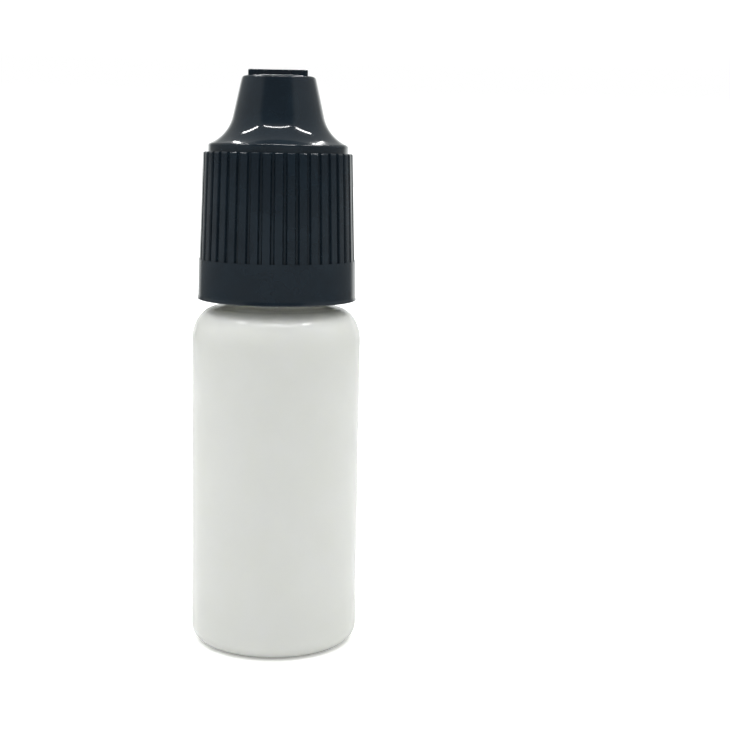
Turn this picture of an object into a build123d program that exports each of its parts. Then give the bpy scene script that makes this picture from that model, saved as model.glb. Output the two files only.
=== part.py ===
from build123d import *
import os
from math import cos, pi, radians, sin, sqrt, tan

# Squeeze dropper bottle with a push-and-turn closure, closed.
# Millimetres, +Z up, origin at the middle of the foot, on the surface that the bottle stands on.
# The front is -Y.

# Bottle body
body_d = 22.0            # outside diameter of the body
wall = 0.9               # side wall
base_wall = 1.0          # floor
foot_round = 2.0         # outside rounding at the foot
foot_land = 1.0          # width of the flat ring that the bottle stands on
push_up = 0.6            # height of the hollow under the floor
body_straight = 40.4     # height at which the shoulder starts to curve in
shoulder_in = 3.2        # how far the shoulder's curve goes inwards
shoulder_up = 4.2        # how far the shoulder's curve goes up
shoulder_slope = 0.3     # rise of the shoulder from its curve to the neck

# Neck of the bottle
neck_len = 14.2          # from the foot of the neck to its rim
neck_foot_r = 6.3        # neck under the bead
neck_r = 5.9             # neck above the bead
neck_bore_r = 4.7        # bore that takes the dropper plug
neck_fillet = 0.5        # rounding between shoulder and neck
bead_r = 7.1             # bead that holds the tamper ring down
bead_up = 4.7            # underside of the bead above the foot of the neck
bead_edge = 0.5          # height of the bead's edge
bead_ramp = 0.9          # height of the slope that the ring snaps over

# Thread, right-handed, one start
pitch = 2.5              # rise for each turn
thread_depth = 0.7       # height of the neck's ridge
thread_root_w = 1.3      # width of a ridge at its root
thread_crest_w = 0.6     # width of a ridge at its crest
thread_up = 7.3          # start of the neck's thread above the foot of the neck
cap_thread_up = 0.9      # start of the inner cap's thread above its edge
neck_turns = 1.75        # turns on the neck
cap_turns = 1.5          # turns in the inner cap
fade_turns = 0.14        # part of a turn in which a ridge fades out
thread_radial = 0.2      # clearance from a crest to the opposite root
thread_axial = 0.1       # clearance on the flank that pulls the cap down
thread_bury = 0.3        # how deep a ridge's foot lies in its wall
sections_per_turn = 24

# Dropper plug
plug_flange = 1.0        # thickness of the flange on the rim
plug_depth = 5.5         # length of the spigot in the neck
plug_wall = 0.9          # wall of the spigot
plug_slack = 0.05        # clearance of the spigot in the bore
plug_grip = 0.08         # how far the sealing ribs bite into the bore
plug_rib_h = 0.8         # height of one sealing rib
plug_lead = 0.5          # lead-in at the end of the spigot
tip_len = 9.8            # nozzle above the flange
tip_base_r = 3.2         # nozzle at the flange
tip_top_r = 1.35         # nozzle at its end
tip_wall = 0.8           # wall of the nozzle at its foot
channel_top_r = 0.6      # channel just under the orifice
orifice_r = 0.35         # orifice that makes the drops
orifice_len = 1.2        # length of the orifice
drip_cup = 0.3           # depth and width of the cup round the orifice
tip_round = 0.3          # rounding at the end of the nozzle

# Inner cap
seal_gap = 0.05          # between the inner cap and what it seals on
deck_wall = 1.0          # top wall over the neck's rim
inner_wall = 1.0         # skirt
chimney_wall = 0.8       # sleeve over the nozzle
chimney_base_r = 4.6     # outside of the sleeve at the deck
chimney_top_r = 3.4      # outside of the sleeve at its top
chimney_air = 0.2        # between the nozzle's end and the sleeve's top wall
pin_slack = 0.1          # clearance of the sealing pin in the orifice
pin_len = 1.0            # length of the sealing pin
inner_skirt = 8.8        # from the deck's underside to the skirt's edge
flange_out = 0.5         # rim at the skirt's edge that keeps the outer cap on
flange_h = 0.8           # height of that rim

# Ratchet between the caps
teeth = 12
tooth_h = 0.9            # height of a tooth of the inner cap
tooth_base_w = 1.2       # width of a tooth at its foot
tooth_top_w = 0.45       # width of a tooth at its top
tooth_in_r = 5.4         # teeth start
tooth_out_r = 7.3        # teeth end
push_travel = 1.2        # how far the outer cap goes down until its ribs drive
tooth_floor = 0.05       # left under a rib when the cap is pushed down
finger_every = 3         # one drive rib in this many is a thin spring finger
finger_w = 0.5           # thickness of a spring finger
finger_lean = 14.0       # lean of a spring finger, degrees

# Tamper ring
ring_wall = 0.5
ring_slack = 0.15        # around the bead
ring_lip_gap = 0.25      # from the lip to the neck
ring_lip_drop = 0.2      # from the lip's top to the bead
ring_lip_h = 1.1         # height of the lip
ring_below = 1.3         # sleeve under the lip
bridge_count = 8
bridge_w = 0.5           # width of a bridge around the ring
bridge_wall = 0.4        # thickness of a bridge, less than the ring's wall
bridge_len = 0.4         # how far a bridge stands above the ring
bridge_break = 0.1       # gap where the bridges part

# Outer cap
cap_gap = 0.75           # from the foot of the neck up to the cap's rim
rim_r = 10.25            # at the rim
rim_lip = 0.15           # how far the rim's edge stands out
rim_lip_h = 0.5          # height over which it does
band_r = 10.17           # at the top of the plain band
band_h = 5.2             # height of the plain band
rib_count = 40
rib_foot_r = 10.08       # rib crest at the foot of the ribs
rib_top_r = 9.63         # rib crest at the top of the ribs
rib_h = 13.7             # length of the ribs
rib_depth = 0.4          # height of a rib
rib_crest = 0.6          # share of the spacing that the crest takes
rib_flank = 0.1          # share of the spacing that each flank takes
rib_round = 0.12         # rounding along a rib's edges
rib_top_round = 0.25     # rounding at the upper end of a rib
land_h = 1.0             # plain ring between the ribs and the flare
land_round = 0.35        # rounding at its upper edge
flare_r = 9.0            # foot of the flare
flare_radius = 5.0       # radius of the flare's hollow curve
flare_top_r = 5.83       # where the flare meets the cone
flare_h = 3.6            # height of the flare
cone_top_r = 4.69        # cone at its top
cone_h = 5.05            # height of the cone above the flare
cone_round = 0.45        # rounding at the top of the cone
cone_wall = 1.2          # wall of cone and flare
top_wall = 1.2           # wall at the top
skirt_top_r = 8.4        # inside of the skirt at its top
skirt_foot_r = 8.8       # inside of the skirt at the foot of the ribs
rim_in_r = 9.1           # inside of the skirt at the rim
bead_hold = 0.3          # how far the inside bead reaches under the inner cap
bead_play = 0.2          # up and down play of the outer cap on the inner cap
cap_bead_h = 0.8         # height of the inside bead
rim_round = 0.12         # rounding at the rim

# Raised triangle for the fingertip
mark_side = 8.0          # outside length of one side
mark_line = 0.65         # width of the raised line
mark_h = 0.75            # height of the raised line
mark_corner = 0.3        # rounding of the corners
mark_edge = 0.15         # rounding along the top
mark_turn = 60.0         # degrees from the front to the nearest corner

# Heights and radii that follow
body_r = body_d / 2
shoulder_z = body_straight + shoulder_up
neck_z = shoulder_z + shoulder_slope
rim_z = neck_z + neck_len
bead_z = neck_z + bead_up
plug_top_z = rim_z + plug_flange
tip_z = plug_top_z + tip_len
deck_z = plug_top_z + seal_gap
deck_top_z = deck_z + deck_wall
tooth_z = deck_top_z + tooth_h
drive_z = deck_top_z + tooth_floor + push_travel
sleeve_in_z = tip_z + chimney_air
sleeve_z = sleeve_in_z + chimney_wall
inner_edge_z = deck_z - inner_skirt
cap_z = neck_z + cap_gap
band_z = cap_z + band_h
rib_z = band_z + rib_h
flare_z = rib_z + land_h
cone_z = flare_z + flare_h
top_z = cone_z + cone_h
inner_thread_r = neck_r + thread_depth + thread_radial
inner_skirt_r = inner_thread_r + inner_wall
inner_rim_r = inner_skirt_r + flange_out


def rounded(face: Sketch, corner: tuple, radius: float) -> Sketch:
    """The outline with the corner nearest to a point rounded."""
    return fillet(face.vertices().sort_by_distance((*corner, 0))[:1], radius)


def turned(face: Sketch) -> Part:
    """A solid of revolution about Z from an outline drawn in radius and height."""
    return revolve(Plane.XZ * face, Axis.Z)


def lathe(*points: tuple) -> Part:
    """A solid of revolution about Z from corner points in radius and height."""
    return turned(make_face(Polyline(*points, close=True)))


def around(piece: Part, count: int, skip: int = 0) -> list:
    """Copies of a piece around Z. With skip, each copy whose number divides by it is left out."""
    places = [place for place in range(count) if not skip or place % skip]
    return [Rot(0, 0, 360 / count * place) * piece for place in places]


def ridge(root_r: float, crest_r: float, datum_z: float, first_turn: float, turns: float) -> Part:
    """A helical ridge that fades out at both ends.

    Its middle passes +X at datum_z, if carried that far. It starts first_turn turns later.
    """
    outward = 1 if crest_r > root_r else -1
    spread = (thread_root_w - thread_crest_w) / 2 / thread_depth
    foot_r = root_r - outward * thread_bury
    half_foot = thread_root_w / 2 + spread * thread_bury
    half_crest = thread_crest_w / 2
    sunk_r = root_r - outward * thread_bury / 4
    steps = round(turns * sections_per_turn)
    sections = []
    for step in range(steps + 1):
        done = turns * step / steps
        grown = min(1.0, done / fade_turns, (turns - done) / fade_turns)
        grown = grown * grown * (3 - 2 * grown)
        top_r = sunk_r + (crest_r - sunk_r) * grown
        middle = datum_z + pitch * (first_turn + done)
        outline = Polyline(
            (foot_r, middle - half_foot), (top_r, middle - half_crest),
            (top_r, middle + half_crest), (foot_r, middle + half_foot), close=True)
        sections.append(Rot(0, 0, 360 * (first_turn + done)) * (Plane.XZ * make_face(outline)))
    return loft(sections)


def make_bottle() -> Part:
    """The blown body with shoulder, neck, bead and thread."""
    curve_r = body_r - shoulder_in
    land_r = body_r - foot_round - foot_land
    # The floor is a shallow dome, which is three quarters as high half-way out.
    dome = push_up * 3 / 4
    outside = make_face([
        ThreePointArc((0, push_up), (land_r / 2, dome), (land_r, 0)),
        Polyline((land_r, 0), (body_r, 0), (body_r, body_straight)),
        EllipticalCenterArc((curve_r, body_straight), shoulder_in, shoulder_up, 0, arc_size=90),
        Polyline(
            (curve_r, shoulder_z), (neck_foot_r, neck_z), (neck_foot_r, bead_z), (bead_r, bead_z),
            (bead_r, bead_z + bead_edge), (neck_r, bead_z + bead_edge + bead_ramp),
            (neck_r, rim_z), (0, rim_z), (0, push_up)),
    ])
    outside = rounded(outside, (body_r, 0), foot_round)
    outside = rounded(outside, (neck_foot_r, neck_z), neck_fillet)
    inside_r = body_r - wall
    floor_z = base_wall + push_up
    ceiling_z = shoulder_z - wall
    bore_foot_z = ceiling_z + shoulder_slope + wall / 2
    inside = make_face([
        ThreePointArc((0, floor_z), (land_r / 2, base_wall + dome), (land_r, base_wall)),
        Polyline((land_r, base_wall), (inside_r, base_wall), (inside_r, body_straight)),
        EllipticalCenterArc(
            (curve_r, body_straight), shoulder_in - wall, shoulder_up - wall, 0, arc_size=90),
        Polyline(
            (curve_r, ceiling_z), (neck_bore_r, bore_foot_z), (neck_bore_r, rim_z),
            (0, rim_z), (0, floor_z)),
    ])
    inside = rounded(inside, (inside_r, base_wall), foot_round - wall)
    thread = ridge(neck_r, neck_r + thread_depth, neck_z + thread_up, 0, neck_turns)
    return turned(outside) + thread - turned(inside)


def make_plug() -> Part:
    """The nozzle: spigot with sealing ribs, flange, tapered tip and orifice."""
    spigot_r = neck_bore_r - plug_slack
    spigot_z = rim_z - plug_depth
    hollow_r = spigot_r - plug_wall
    tip_edge_r = tip_top_r - tip_round
    outside = lathe(
        (0, spigot_z), (spigot_r - plug_lead, spigot_z), (spigot_r, spigot_z + plug_lead),
        (spigot_r, rim_z), (neck_r, rim_z), (neck_r, plug_top_z), (tip_base_r, plug_top_z),
        (tip_top_r, tip_z - tip_round), (tip_edge_r, tip_z), (0, tip_z))
    channel_r = tip_base_r - tip_wall
    channel_z = tip_z - drip_cup - orifice_len
    hollow = lathe(
        (0, spigot_z), (hollow_r, spigot_z), (hollow_r, rim_z), (channel_r, plug_top_z),
        (channel_top_r, channel_z), (orifice_r, channel_z), (orifice_r, tip_z - drip_cup),
        (orifice_r + drip_cup, tip_z), (0, tip_z))
    grip_r = neck_bore_r + plug_grip
    spacing = (plug_depth - plug_lead) / 3
    for place in (1, 2):
        low = spigot_z + plug_lead + spacing * place - plug_rib_h / 2
        outside += lathe(
            (hollow_r, low), (spigot_r, low), (grip_r, low + plug_rib_h / 2),
            (spigot_r, low + plug_rib_h), (hollow_r, low + plug_rib_h))
    return outside - hollow


def blade(*outline: tuple) -> Part:
    """A prism over the ratchet's radii, on +X, from an outline in sideways place and height."""
    face = make_face(Polyline(*outline, close=True))
    return extrude(Plane.YZ.offset(tooth_in_r) * face, tooth_out_r - tooth_in_r)


def make_inner_cap() -> Part:
    """The threaded cap inside: skirt, deck with saw teeth, and the sleeve over the nozzle."""
    edge = flange_h / 4
    outside = lathe(
        (0, inner_edge_z), (inner_rim_r - edge, inner_edge_z), (inner_rim_r, inner_edge_z + edge),
        (inner_rim_r, inner_edge_z + flange_h - edge), (inner_rim_r - edge, inner_edge_z + flange_h),
        (inner_skirt_r, inner_edge_z + flange_h), (inner_skirt_r, deck_top_z),
        (chimney_base_r, deck_top_z), (chimney_top_r, sleeve_z - chimney_wall / 2),
        (chimney_top_r - chimney_wall / 2, sleeve_z), (0, sleeve_z))
    hollow = lathe(
        (0, inner_edge_z), (inner_thread_r, inner_edge_z), (inner_thread_r, deck_z),
        (chimney_base_r - chimney_wall, deck_z), (chimney_top_r - chimney_wall, sleeve_in_z),
        (0, sleeve_in_z))
    pin = Pos(0, 0, sleeve_in_z) * Cylinder(
        orifice_r - pin_slack, pin_len, align=(Align.CENTER, Align.CENTER, Align.MAX))
    spread = (thread_root_w - thread_crest_w) / 2 / thread_depth
    drop = thread_root_w - spread * (thread_depth + thread_radial) + thread_axial
    datum_z = neck_z + thread_up - drop
    first_turn = (inner_edge_z + cap_thread_up - datum_z) / pitch
    thread = ridge(inner_thread_r, neck_r + thread_radial, datum_z, first_turn, cap_turns)
    side = tooth_base_w / 2
    saw = blade(
        (side, deck_z), (side, tooth_z), (side - tooth_top_w, tooth_z), (-side, deck_top_z),
        (-side, deck_z))
    return outside - hollow + thread + pin + around(saw, teeth)


def make_tamper_ring() -> Part:
    """The break-off ring: a sleeve round the bead with a lip under it and parted bridges."""
    sleeve_r = bead_r + ring_slack
    outer_r = sleeve_r + ring_wall
    lip_r = neck_foot_r + ring_lip_gap
    lip_z = bead_z - ring_lip_drop
    low = lip_z - ring_lip_h - ring_below
    high = inner_edge_z - bridge_break - bridge_len
    body = lathe(
        (sleeve_r, low), (outer_r, low), (outer_r, high), (sleeve_r, high), (sleeve_r, lip_z),
        (lip_r, lip_z), (lip_r, lip_z - ring_lip_h / 2), (sleeve_r, lip_z - ring_lip_h))
    bridge = Pos(sleeve_r + ring_wall / 2, 0, high) * Box(bridge_wall, bridge_w, 2 * bridge_len)
    return body + around(bridge, bridge_count)


def groove_section(crest_r: float, height: float) -> Sketch:
    """The section of one groove between two ribs, on +X, with rounded edges."""
    root_r = crest_r - rib_depth
    spacing = 2 * pi / rib_count
    mouth = crest_r * spacing * (1 - rib_crest) / 2
    foot = root_r * (spacing * (1 - rib_crest) / 2 - spacing * rib_flank)
    side = mouth + 2 * rib_round
    corners = [(root_r, foot), (crest_r, mouth), (crest_r, side), (crest_r + rib_depth, side)]
    mirrored = [(radius, -across) for radius, across in reversed(corners)]
    face = make_face(Polyline(*corners, *mirrored, close=True))
    bends = [corner for corner in face.vertices() if abs(corner.Y) < side - rib_round / 2]
    return Pos(0, 0, height) * fillet(bends, rib_round)


def make_groove() -> Part:
    """One groove on +X. It ends square on the plain band and runs out over the ribs' upper ends."""
    lean = (rib_foot_r - rib_top_r) / rib_h
    above = rib_depth
    return loft([
        groove_section(rib_foot_r, band_z),
        groove_section(rib_top_r - lean * above, rib_z + above)], ruled=True)


def make_mark() -> Part:
    """The raised triangle on top, with one side to the front."""
    corner_r = mark_side / sqrt(3)
    outer = RegularPolygon(corner_r, 3)
    inner = RegularPolygon(corner_r - 2 * mark_line, 3)
    line = fillet(outer.vertices(), mark_corner) - inner
    bar = extrude(line, mark_h)
    edges = bar.faces().sort_by(Axis.Z)[-1].outer_wire().edges()
    return Pos(0, 0, top_z) * Rot(0, 0, mark_turn - 90) * fillet(edges, mark_edge)


def make_outer_cap() -> Part:
    """The ribbed shell: plain band, ribs, flare, cone, raised triangle and drive ribs inside."""
    chord = sqrt((flare_r - flare_top_r) ** 2 + flare_h ** 2)
    lift = sqrt(flare_radius ** 2 - (chord / 2) ** 2)
    middle_r = (flare_r + flare_top_r) / 2 + lift * flare_h / chord
    middle_z = (flare_z + cone_z) / 2 + lift * (flare_r - flare_top_r) / chord
    slope = (flare_top_r - cone_top_r) / cone_h
    core = make_face([
        Polyline(
            (0, cap_z), (rim_r + rim_lip, cap_z), (rim_r, cap_z + rim_lip_h), (band_r, band_z),
            (rib_foot_r, band_z), (rib_top_r, rib_z), (flare_r, rib_z), (flare_r, flare_z)),
        RadiusArc((flare_r, flare_z), (flare_top_r, cone_z), flare_radius),
        Polyline((flare_top_r, cone_z), (cone_top_r, top_z), (0, top_z), (0, cap_z)),
    ])
    core = rounded(core, (cone_top_r, top_z), cone_round)
    core = rounded(core, (rim_r + rim_lip, cap_z), rim_round)
    core = rounded(core, (flare_r, flare_z), land_round)
    core = rounded(core, (rib_top_r, rib_z), rib_top_round)
    solid = turned(core)
    hollow_radius = flare_radius + cone_wall
    cone_in_r = middle_r - sqrt(hollow_radius ** 2 - (middle_z - cone_z) ** 2)
    ceiling_z = top_z - top_wall
    ceiling_r = cone_in_r - (ceiling_z - cone_z) * slope
    eave_z = middle_z - sqrt(hollow_radius ** 2 - (middle_r - skirt_top_r) ** 2)
    hollow = turned(make_face([
        Polyline((0, cap_z), (rim_in_r, cap_z), (skirt_foot_r, band_z), (skirt_top_r, eave_z)),
        RadiusArc((skirt_top_r, eave_z), (cone_in_r, cone_z), hollow_radius),
        Polyline((cone_in_r, cone_z), (ceiling_r, ceiling_z), (0, ceiling_z), (0, cap_z)),
    ]))
    hold_r = inner_rim_r - bead_hold
    hold_z = inner_edge_z - bead_play
    buried_r = (band_r + rim_in_r) / 2
    bead = lathe(
        (buried_r, hold_z - cap_bead_h), (skirt_foot_r, hold_z - cap_bead_h),
        (hold_r, hold_z - cap_bead_h / 2), (hold_r, hold_z), (buried_r, hold_z))
    side = tooth_base_w / 2
    rib = blade(
        (-side, drive_z), (-side, cone_z), (side, cone_z), (side, drive_z + tooth_h),
        (tooth_top_w - side, drive_z))
    lean = (cone_z - drive_z) * tan(radians(finger_lean))
    half = finger_w / 2
    finger = blade((-half, drive_z), (half, drive_z), (half - lean, cone_z), (-half - lean, cone_z))
    inside = around(rib, teeth, finger_every) + around(finger, teeth // finger_every)
    half_step = Rot(0, 0, 180 / teeth)
    drives = [(half_step * piece) & solid for piece in inside]
    shell = solid - hollow + [bead, make_mark(), *drives]
    return shell - around(make_groove(), rib_count)


os.makedirs("parts", exist_ok=True)
pieces = {
    "bottle": make_bottle(),
    "dropper_plug": make_plug(),
    "inner_cap": make_inner_cap(),
    "tamper_ring": make_tamper_ring(),
    "outer_cap": make_outer_cap(),
}
for name, piece in pieces.items():
    export_step(piece, f"parts/{name}.step")
print("push travel", round(push_travel, 3), "height", round(top_z + mark_h, 3))
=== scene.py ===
"""Dresses a small squeeze dropper bottle in its moulded plastics and stands it in a white light tent."""

import logging
import math
from dataclasses import dataclass
from enum import Enum

import bpy
from mathutils import Euler, Matrix, Vector

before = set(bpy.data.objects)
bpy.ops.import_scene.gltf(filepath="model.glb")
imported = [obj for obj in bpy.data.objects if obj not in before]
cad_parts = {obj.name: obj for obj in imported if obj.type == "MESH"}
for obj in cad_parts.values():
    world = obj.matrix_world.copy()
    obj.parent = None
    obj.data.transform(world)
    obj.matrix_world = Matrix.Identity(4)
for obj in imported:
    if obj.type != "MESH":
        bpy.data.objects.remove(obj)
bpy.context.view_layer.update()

PHOTO_SIDE = 730
LOG = logging.getLogger("dropper_bottle")

Colour = tuple[float, float, float]
Point = tuple[float, float, float]
Span = tuple[float, float]

MIX_SHARE, MIX_FIRST, MIX_SECOND, MIX_COLOUR = 0, 6, 7, 2
WHITE = (1.0, 1.0, 1.0)
PLASTIC_IOR = 1.5
FINE_PER_BROAD = 8
DUST_COVER = 0.6
DEPTH_BY_COLOUR = (1.0, 1.0, 0.92)
FLOOR_TONE = (0.85, 0.85, 0.85, 1.0)
FLOOR_ROUGHNESS = 0.9
FLOOR_CORNERS = 96
SENSOR_WIDTH = 36.0
CLIP_START = 0.01


class Sheen(Enum):
    """How a mould's polish leaves the plastic: the roughness of its smooth parts, then of its dull parts."""

    MIRROR = (0.08, 0.16)
    GLOSS = (0.14, 0.26)
    SATIN = (0.3, 0.45)


class Tree:
    """A short way to add and join the nodes of one node tree."""

    def __init__(self, tree: bpy.types.NodeTree) -> None:
        """Keeps the tree.

        Args:
            tree: The node tree that the nodes go into.
        """
        self.tree = tree

    def add(self, kind: str, **settings: object) -> bpy.types.Node:
        """Adds one node.

        Args:
            kind: Blender's name for the node's type.
            **settings: Properties of the node, such as operation.

        Returns:
            The new node.
        """
        node = self.tree.nodes.new(kind)
        for name, value in settings.items():
            setattr(node, name, value)
        return node

    def feed(self, node: bpy.types.Node, **values: object) -> bpy.types.Node:
        """Fills a node's inputs.

        Args:
            node: The node whose inputs are filled.
            **values: Input names, with _ for a space, and a number, a colour or another node's output.

        Returns:
            The same node.
        """
        for name, value in values.items():
            socket = node.inputs[name.replace("_", " ")]
            if isinstance(value, bpy.types.NodeSocket):
                self.tree.links.new(value, socket)
            else:
                socket.default_value = value
        return node

    def maths(self, operation: str, first: object, second: object = 0.0) -> bpy.types.NodeSocket:
        """Adds a Math node.

        Args:
            operation: The name of the operation.
            first: The first number or output.
            second: The second number or output.

        Returns:
            The node's output.
        """
        node = self.add("ShaderNodeMath", operation=operation)
        for place, value in enumerate((first, second)):
            if isinstance(value, bpy.types.NodeSocket):
                self.tree.links.new(value, node.inputs[place])
            else:
                node.inputs[place].default_value = value
        return node.outputs[0]

    def blend(self, share: object, first: object, second: object) -> bpy.types.NodeSocket:
        """Adds a colour Mix node.

        Args:
            share: How much of the second colour, as a number or an output.
            first: The first colour or output.
            second: The second colour or output.

        Returns:
            The mixed colour.
        """
        node = self.add("ShaderNodeMix", data_type="RGBA")
        for place, value in ((MIX_SHARE, share), (MIX_FIRST, first), (MIX_SECOND, second)):
            if isinstance(value, bpy.types.NodeSocket):
                self.tree.links.new(value, node.inputs[place])
            else:
                node.inputs[place].default_value = (*value, 1.0) if isinstance(value, tuple) else value
        return node.outputs[MIX_COLOUR]

    def span(self, value: object, low: float, high: float, start: float, end: float) -> bpy.types.NodeSocket:
        """Adds a clamped Map Range node.

        Args:
            value: The output that is mapped.
            low: The value that gives start.
            high: The value that gives end.
            start: The result at low.
            end: The result at high.

        Returns:
            The mapped value.
        """
        node = self.add("ShaderNodeMapRange", interpolation_type="SMOOTHSTEP")
        self.feed(node, Value=value, From_Min=low, From_Max=high, To_Min=start, To_Max=end)
        return node.outputs[0]


def new_group(
    name: str, inputs: dict[str, float], outputs: tuple[str, ...],
) -> tuple[Tree, bpy.types.Node, bpy.types.Node]:
    """Makes an empty shader node group of numbers.

    Args:
        name: The group's name.
        inputs: The name and usual value of each input.
        outputs: The name of each output.

    Returns:
        The group's tree, its input node and its output node.
    """
    tree = bpy.data.node_groups.new(name, "ShaderNodeTree")
    for label, usual in inputs.items():
        socket = tree.interface.new_socket(label, in_out="INPUT", socket_type="NodeSocketFloat")
        socket.default_value = usual
    for label in outputs:
        tree.interface.new_socket(label, in_out="OUTPUT", socket_type="NodeSocketFloat")
    nodes = Tree(tree)
    return nodes, nodes.add("NodeGroupInput"), nodes.add("NodeGroupOutput")


@dataclass(frozen=True)
class SharedEffects:
    """The surface effects that more than one plastic uses, each as a node group that is built once."""

    skin: bpy.types.NodeTree
    handling: bpy.types.NodeTree

    @staticmethod
    def build() -> "SharedEffects":
        """Builds both groups."""
        return SharedEffects(skin=SharedEffects.moulded_skin(), handling=SharedEffects.handling_marks())

    @staticmethod
    def moulded_skin() -> bpy.types.NodeTree:
        """The faint ripple that a cooling skin leaves, at a broad and at a fine scale.

        Returns:
            The group. Its outputs are Height, and Tone, which is 1 where the skin is thickest.
        """
        usual = {"Broad Scale": 200.0, "Fine Scale": 1500.0, "Fine Share": 0.3}
        nodes, given, result = new_group("MouldedSkin", usual, ("Height", "Tone"))
        place = nodes.add("ShaderNodeTexCoord").outputs["Object"]
        broad = nodes.add("ShaderNodeTexNoise")
        nodes.feed(broad, Vector=place, Scale=given.outputs["Broad Scale"], Detail=2.0, Roughness=0.5)
        fine = nodes.add("ShaderNodeTexNoise")
        nodes.feed(fine, Vector=place, Scale=given.outputs["Fine Scale"], Detail=3.0, Roughness=0.6)
        fine_part = nodes.maths("MULTIPLY", fine.outputs["Fac"], given.outputs["Fine Share"])
        height = nodes.maths("ADD", broad.outputs["Fac"], fine_part)
        nodes.feed(result, Height=height, Tone=nodes.span(broad.outputs["Fac"], 0.3, 0.7, 0.0, 1.0))
        return nodes.tree

    @staticmethod
    def handling_marks() -> bpy.types.NodeTree:
        """Hair scratches and specks of dust.

        Returns:
            The group. Its outputs are the masks Scratches and Dust.
        """
        usual = {"Scratch Scale": 60.0, "Dust Scale": 500.0, "Dust Size": 0.1, "Dust Share": 0.12}
        nodes, given, result = new_group("HandlingMarks", usual, ("Scratches", "Dust"))
        place = nodes.add("ShaderNodeTexCoord").outputs["Object"]
        turned = nodes.add("ShaderNodeMapping")
        slant, stretch = (0.6, 0.9, 0.3), (1.0, 0.12, 1.0)
        nodes.feed(turned, Vector=place, Rotation=slant, Scale=stretch)
        lines = nodes.add("ShaderNodeTexVoronoi", feature="DISTANCE_TO_EDGE")
        nodes.feed(lines, Vector=turned.outputs[0], Scale=given.outputs["Scratch Scale"], Randomness=1.0)
        line_width = 0.02
        thin = nodes.span(lines.outputs["Distance"], 0.0, line_width, 1.0, 0.0)
        where = nodes.add("ShaderNodeTexNoise")
        nodes.feed(where, Vector=place, Scale=given.outputs["Scratch Scale"], Detail=2.0)
        bare, full = 0.5, 0.62
        broken = nodes.span(where.outputs["Fac"], bare, full, 0.0, 1.0)
        specks = nodes.add("ShaderNodeTexVoronoi", feature="F1")
        nodes.feed(specks, Vector=place, Scale=given.outputs["Dust Scale"], Randomness=1.0)
        small = nodes.maths("LESS_THAN", specks.outputs["Distance"], given.outputs["Dust Size"])
        lot = nodes.add("ShaderNodeSeparateColor")
        nodes.feed(lot, Color=specks.outputs["Color"])
        chosen = nodes.maths("LESS_THAN", lot.outputs[0], given.outputs["Dust Share"])
        scratches = nodes.maths("MULTIPLY", thin, broken)
        nodes.feed(result, Scratches=scratches, Dust=nodes.maths("MULTIPLY", small, chosen))
        return nodes.tree


@dataclass(frozen=True)
class Plastic:
    """A moulded plastic: its two tones, its polish and the depth of its skin's ripple.

    Attributes:
        name: The material's name.
        tone: The base colour where the skin is thickest.
        cloud: The base colour where it is thinnest.
        sheen: The mould's polish.
        ripple: Depth of the skin's ripple in metres.
        broad_scale: Waves of the ripple for each metre.
        dust: The colour of the dust specks.
        dust_share: The share of places that hold a speck.
        scratches: How much duller a scratch is.
    """

    name: str
    tone: Colour
    cloud: Colour
    sheen: Sheen
    ripple: float
    broad_scale: float
    dust: Colour
    dust_share: float
    scratches: float

    def build(self, effects: SharedEffects) -> bpy.types.Material:
        """Makes the material.

        Args:
            effects: The shared node groups.

        Returns:
            The material.
        """
        material = bpy.data.materials.new(self.name)
        material.use_nodes = True
        nodes = Tree(material.node_tree)
        shader = material.node_tree.nodes["Principled BSDF"]
        skin = nodes.add("ShaderNodeGroup", node_tree=effects.skin)
        nodes.feed(skin, Broad_Scale=self.broad_scale, Fine_Scale=self.broad_scale * FINE_PER_BROAD)
        marks = nodes.add("ShaderNodeGroup", node_tree=effects.handling)
        nodes.feed(marks, Dust_Share=self.dust_share)
        colour = nodes.blend(skin.outputs["Tone"], self.cloud, self.tone)
        dusty = nodes.blend(nodes.maths("MULTIPLY", marks.outputs["Dust"], DUST_COVER), colour, self.dust)
        smooth, dull = self.sheen.value
        polish = nodes.span(skin.outputs["Tone"], 0.0, 1.0, smooth, dull)
        worn = nodes.maths("ADD", polish, nodes.maths("MULTIPLY", marks.outputs["Scratches"], self.scratches))
        bump = nodes.add("ShaderNodeBump")
        nodes.feed(bump, Strength=1.0, Distance=self.ripple, Height=skin.outputs["Height"])
        nodes.feed(shader, Base_Color=dusty, Roughness=worn, Normal=bump.outputs[0], IOR=PLASTIC_IOR)
        self.deepen(shader)
        return material

    def deepen(self, shader: bpy.types.Node) -> None:
        """Gives the shader what lies under the skin. An opaque plastic has nothing there."""


@dataclass(frozen=True)
class MilkyPlastic(Plastic):
    """A plastic that lets light through and scatters it.

    Attributes:
        scatter: How far light travels inside, in metres.
        clear: The share of light that passes through without being scattered much.
        gleam: Strength of its surface reflection, where 0.5 is that of its refraction alone.
    """

    scatter: float = 0.002
    clear: float = 0.2
    gleam: float = 0.35

    def deepen(self, shader: bpy.types.Node) -> None:
        """Lets light into the plastic.

        Args:
            shader: The material's Principled BSDF.
        """
        shader.inputs["Subsurface Weight"].default_value = 1.0
        shader.inputs["Subsurface Radius"].default_value = DEPTH_BY_COLOUR
        shader.inputs["Subsurface Scale"].default_value = self.scatter
        shader.inputs["Transmission Weight"].default_value = self.clear
        shader.inputs["Specular IOR Level"].default_value = self.gleam


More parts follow.
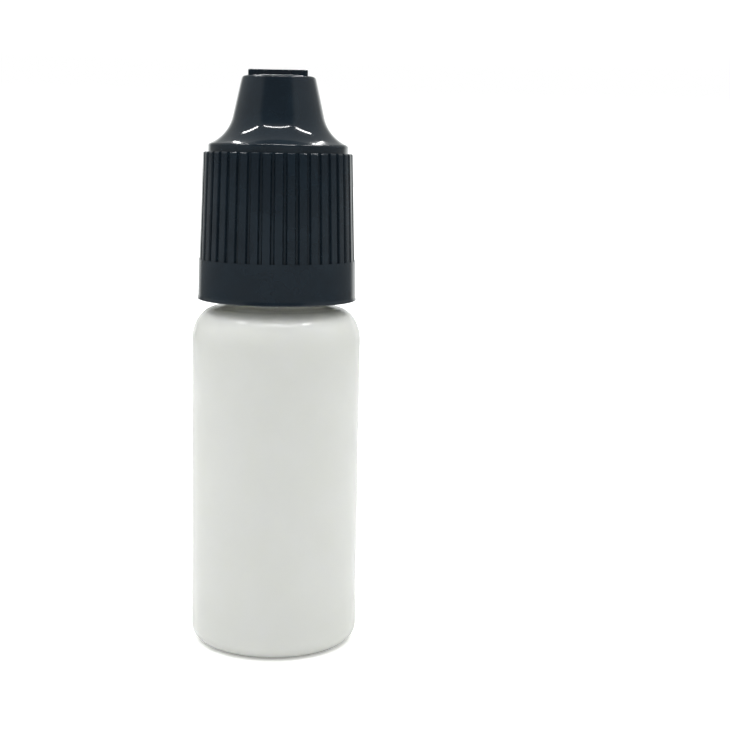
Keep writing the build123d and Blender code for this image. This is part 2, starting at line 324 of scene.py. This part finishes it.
NATURAL_BOTTLE = MilkyPlastic(
    name="natural_soft_polyethylene", tone=(0.86, 0.87, 0.78), cloud=(0.88, 0.89, 0.81), sheen=Sheen.GLOSS,
    ripple=0.00003, broad_scale=140.0, dust=(0.7, 0.7, 0.68), dust_share=0.02, scratches=0.0,
    scatter=0.003, clear=0.2)
NATURAL_NOZZLE = MilkyPlastic(
    name="natural_nozzle_polyethylene", tone=(0.83, 0.84, 0.81), cloud=(0.86, 0.865, 0.84), sheen=Sheen.GLOSS,
    ripple=0.00001, broad_scale=400.0, dust=(0.7, 0.7, 0.68), dust_share=0.01, scratches=0.0,
    scatter=0.0025, clear=0.2)
WHITE_CLOSURE = MilkyPlastic(
    name="white_polypropylene", tone=(0.80, 0.80, 0.78), cloud=(0.84, 0.84, 0.82), sheen=Sheen.SATIN,
    ripple=0.00001, broad_scale=400.0, dust=(0.6, 0.6, 0.6), dust_share=0.01, scratches=0.0,
    scatter=0.0012, clear=0.0)
DARK_CLOSURE = Plastic(
    name="dark_blue_polypropylene", tone=(0.0068, 0.012, 0.018), cloud=(0.009, 0.0155, 0.0225),
    sheen=Sheen.MIRROR, ripple=0.000015, broad_scale=250.0, dust=(0.12, 0.13, 0.14), dust_share=0.03,
    scratches=0.06)


@dataclass(frozen=True)
class Moulding:
    """One moulded piece of the bottle, whose shape is the solid model's own.

    Attributes:
        node: The piece's name in the model.
        plastic: What it is moulded from.
        slot: The name of a material slot for this finish; not used.
    """

    node: str
    plastic: Plastic
    slot: str

    def dress(self, effects: SharedEffects) -> None:
        """Gives the piece its plastic.

        Args:
            effects: The shared node groups.
        """
        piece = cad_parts[self.node]
        material = bpy.data.materials.get(self.plastic.name) or self.plastic.build(effects)
        piece.data.materials.clear()
        piece.data.materials.append(material)
        LOG.info("%s: %s", self.node, self.plastic.name)


@dataclass(frozen=True)
class Strip:
    """One bar of small lamps under the roof of the tent.

    Attributes:
        name: The light's name.
        start: One end of the bar, in metres.
        end: The other end.
        share: Its brightness beside that of the other bars.
    """

    name: str
    start: Point
    end: Point
    share: float

    def hang(self, width: float, radiance: float, aim: Vector) -> None:
        """Makes the bar as a long thin area light.

        Args:
            width: The bar's width in metres.
            radiance: How bright its face is, where 1 is white.
            aim: The point that its face is turned to.
        """
        start, end = Vector(self.start), Vector(self.end)
        along = (end - start).normalized()
        middle = (start + end) / 2
        back = (middle - aim).normalized()
        back = (back - back.dot(along) * along).normalized()
        side = back.cross(along)
        length = (end - start).length
        light = bpy.data.lights.new(self.name, "AREA")
        light.shape = "RECTANGLE"
        light.size = length
        light.size_y = width
        light.energy = self.share * radiance * length * width * math.pi
        lamp = bpy.data.objects.new(self.name, light)
        lamp.matrix_world = Matrix.Translation(middle) @ Matrix((along, side, back)).transposed().to_4x4()
        lamp.visible_camera = False
        bpy.context.scene.collection.objects.link(lamp)


@dataclass(frozen=True)
class Studio:
    """The light tent: its floor, its walls' light, its lamp bars and the camera.

    Attributes:
        roof: Height of the lamp bars.
        bars_x: Where the left and the right lamp bar hang.
        bars_y: Where the front and the back lamp bar hang.
        bar_gap: How far a bar ends before the corner of the rectangle.
        bar_splay: How far the back ends of the side bars are spread outwards.
        side_back: Where the side bars end at the back.
        strip_width: Width of a lamp bar.
        strip_radiance: Brightness of a lamp bar, where 1 is white.
        front_share: The front bar's part of that brightness.
        back_share: The back bar's part.
        side_share: The part of the left and the right bar.
        aim_height: Height of the point over the foot that all the bars face.
        open_front: Brightness of the open side that the camera looks in from.
        cloth: Brightness of the tent's side walls and roof.
        front_edges: Where the open front gives way to the side walls, in the heading's Y.
        roof_edges: Where the walls' light rises to the roof's, in the direction's Z.
        wall_foot: Where the walls begin over the horizon, in Z.
        far_table: Brightness that the table has near the horizon.
        table_fall: How many times darker the table is nearer to the bottle.
        table_edges: Where it darkens, in Z.
        table_fade: Where it ends over the horizon, in Z.
        fill: Soft light from all round, which is not seen in reflections.
        tint: The colour of all light that the camera doesn't see directly.
        backdrop: Brightness that the sheet behind the bottle has besides.
        sheet_edges: Where the sheet begins at its sides, in Y.
        sheet_top: Where it ends above, in Z.
        glow_from: Distance from the bottle's axis at which the floor's glow begins to grow.
        glow_near: The floor's glow nearer than that, which lightens the shadow under the foot.
        floor_radius: Radius of the tent's floor.
        far_radius: Radius of the floor that only the camera sees.
        far_drop: How far that floor lies under the tent's.
        camera_at: Where the camera is.
        camera_down: How far it looks down, in degrees.
        camera_roll: How far it leans, in degrees.
        focal_px: Its focal length in pixels of the photograph.
    """

    roof: float = 0.32
    bars_x: tuple[float, float] = (-0.17, 0.15)
    bars_y: tuple[float, float] = (-0.13, 0.3)
    bar_gap: float = 0.045
    bar_splay: float = 0.02
    side_back: float = 0.1
    strip_width: float = 0.009
    strip_radiance: float = 58.0
    front_share: float = 0.8
    back_share: float = 1.2
    side_share: float = 1.15
    aim_height: float = 0.04
    open_front: float = 0.06
    cloth: float = 0.42
    front_edges: Span = (-0.8, -0.6)
    roof_edges: Span = (0.72, 0.9)
    wall_foot: Span = (0.03, 0.2)
    far_table: float = 0.26
    table_fall: float = 3.0
    table_edges: Span = (-0.12, -0.02)
    table_fade: Span = (0.0, 0.06)
    fill: float = 0.76
    tint: Colour = (0.975, 1.0, 0.985)
    backdrop: float = 0.9
    sheet_edges: Span = (0.75, 0.92)
    sheet_top: Span = (0.1, 0.35)
    glow_from: float = 0.03
    glow_near: float = 0.25
    floor_radius: float = 0.3
    far_radius: float = 3.0
    far_drop: float = 0.0005
    camera_at: Point = (0.0117, -0.180, 0.064)
    camera_down: float = 8.5
    camera_roll: float = 1.1
    focal_px: float = 1380.0

    def build(self) -> None:
        """Builds the whole tent."""
        self.lay_floor()
        self.light_walls()
        self.hang_strips()
        self.set_camera()
        bpy.context.scene.view_settings.view_transform = "Standard"
        LOG.info("studio: floor, walls, lamp bars, camera")

    def lay_floor(self) -> None:
        """Makes the tent's floor, and a wide floor round it that only the camera sees, both painted white by
        a glow that only the camera sees.
        """
        near = self.disc("tent_floor", self.floor_radius, 0.0)
        far = self.disc("far_floor", self.far_radius, -self.far_drop)
        far.visible_diffuse = far.visible_glossy = far.visible_transmission = far.visible_shadow = False
        material = bpy.data.materials.new("pale_floor")
        material.use_nodes = True
        nodes = Tree(material.node_tree)
        shader = material.node_tree.nodes["Principled BSDF"]
        place = nodes.add("ShaderNodeTexCoord").outputs["Object"]
        away = nodes.add("ShaderNodeVectorMath", operation="LENGTH")
        nodes.feed(away, Vector=place)
        glow = nodes.span(away.outputs["Value"], self.glow_from, self.floor_radius, self.glow_near, 1.0)
        seen = nodes.add("ShaderNodeLightPath").outputs["Is Camera Ray"]
        nodes.feed(shader, Base_Color=FLOOR_TONE, Roughness=FLOOR_ROUGHNESS, Specular_IOR_Level=0.0)
        # Painted light: a glow that only camera rays see, weaker near the bottle's axis, paints the floors
        # white and lightens the shadow under the foot.
        strength = nodes.maths("MULTIPLY", glow, seen)
        nodes.feed(shader, Emission_Color=(*WHITE, 1.0), Emission_Strength=strength)
        for floor in (near, far):
            floor.data.materials.append(material)

    def disc(self, name: str, radius: float, height: float) -> bpy.types.Object:
        """Makes a flat round floor.

        Args:
            name: The floor's name.
            radius: Its radius.
            height: Its height.

        Returns:
            The floor.
        """
        turns = [math.tau * corner / FLOOR_CORNERS for corner in range(FLOOR_CORNERS)]
        mesh = bpy.data.meshes.new(name)
        rim = [(radius * math.cos(turn), radius * math.sin(turn), height) for turn in turns]
        mesh.from_pydata(rim, [], [tuple(range(FLOOR_CORNERS))])
        floor = bpy.data.objects.new(name, mesh)
        bpy.context.scene.collection.objects.link(floor)
        return floor

    def light_walls(self) -> None:
        """Makes the tent's cloth as the world's light: open front, soft walls and roof, white backdrop."""
        world = bpy.data.worlds.new("tent")
        world.use_nodes = True
        bpy.context.scene.world = world
        nodes = Tree(world.node_tree)
        shader = world.node_tree.nodes["Background"]
        direction = nodes.add("ShaderNodeTexCoord").outputs["Generated"]
        parts = nodes.add("ShaderNodeSeparateXYZ")
        nodes.feed(parts, Vector=direction)
        level = nodes.add("ShaderNodeCombineXYZ")
        nodes.feed(level, X=parts.outputs["X"], Y=parts.outputs["Y"], Z=0.0)
        heading = nodes.add("ShaderNodeVectorMath", operation="NORMALIZE")
        nodes.feed(heading, Vector=level.outputs[0])
        round_about = nodes.add("ShaderNodeSeparateXYZ")
        nodes.feed(round_about, Vector=heading.outputs[0])
        above_front = self.cloth - self.open_front
        sides = nodes.span(round_about.outputs["Y"], *self.front_edges, 0.0, above_front)
        overhead = nodes.span(parts.outputs["Z"], *self.roof_edges, 0.0, above_front)
        beside = nodes.maths("MAXIMUM", sides, overhead)
        raised = nodes.span(parts.outputs["Z"], *self.wall_foot, 0.0, 1.0)
        behind = nodes.span(parts.outputs["Y"], *self.sheet_edges, 0.0, self.backdrop)
        low = nodes.span(parts.outputs["Z"], *self.sheet_top, 1.0, 0.0)
        walls = nodes.maths("MULTIPLY", beside, raised)
        near_table = self.far_table / self.table_fall
        table = nodes.span(parts.outputs["Z"], *self.table_edges, near_table, self.far_table)
        horizon = nodes.span(parts.outputs["Z"], *self.table_fade, 1.0, 0.0)
        far_table = nodes.maths("MULTIPLY", table, horizon)
        sheet = nodes.maths("MULTIPLY", behind, low)
        cloths = nodes.maths("ADD", nodes.maths("ADD", walls, sheet), far_table)
        light = nodes.maths("ADD", cloths, self.open_front)
        ray = nodes.add("ShaderNodeLightPath").outputs
        soft = nodes.maths("MULTIPLY", nodes.maths("SUBTRACT", 1.0, ray["Is Glossy Ray"]), self.fill)
        tint = nodes.blend(ray["Is Camera Ray"], self.tint, WHITE)
        strength = nodes.maths("MAXIMUM", nodes.maths("MAXIMUM", light, soft), ray["Is Camera Ray"])
        nodes.feed(shader, Color=tint, Strength=strength)

    def hang_strips(self) -> None:
        """Hangs the lamp bars in a rectangle under the roof."""
        (left, right), (front, back), gap, up = self.bars_x, self.bars_y, self.bar_gap, self.roof
        left_end = (left - self.bar_splay, self.side_back, up)
        right_end = (right + self.bar_splay, self.side_back, up)
        bars = (
            Strip("bar_front", (left + gap, front, up), (right - gap, front, up), self.front_share),
            Strip("bar_back", (left + gap, back, up), (right - gap, back, up), self.back_share),
            Strip("bar_left", (left, front + gap, up), left_end, self.side_share),
            Strip("bar_right", (right, front + gap, up), right_end, self.side_share),
        )
        for bar in bars:
            bar.hang(self.strip_width, self.strip_radiance, Vector((0.0, 0.0, self.aim_height)))

    def set_camera(self) -> None:
        """Puts the camera where the photograph was taken from."""
        lens = bpy.data.cameras.new("camera")
        lens.sensor_width = SENSOR_WIDTH
        lens.lens = self.focal_px / PHOTO_SIDE * lens.sensor_width
        lens.clip_start = CLIP_START
        camera = bpy.data.objects.new("camera", lens)
        camera.location = self.camera_at
        tilt = Euler((math.radians(90.0 - self.camera_down), 0.0, 0.0)).to_matrix()
        lean = Euler((0.0, 0.0, math.radians(self.camera_roll))).to_matrix()
        camera.rotation_euler = (tilt @ lean).to_euler()
        bpy.context.scene.collection.objects.link(camera)
        bpy.context.scene.camera = camera


def main() -> None:
    """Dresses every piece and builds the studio."""
    logging.basicConfig(level=logging.INFO, format="%(message)s")
    effects = SharedEffects.build()
    for moulding in (
        Moulding("bottle", NATURAL_BOTTLE, "bottle"),
        Moulding("dropper_plug", NATURAL_NOZZLE, "nozzle"),
        Moulding("inner_cap", WHITE_CLOSURE, "inner_closure"),
        Moulding("tamper_ring", WHITE_CLOSURE, "inner_closure"),
        Moulding("outer_cap", DARK_CLOSURE, "outer_cap"),
    ):
        moulding.dress(effects)
    Studio().build()


if __name__ == "__main__":
    main()
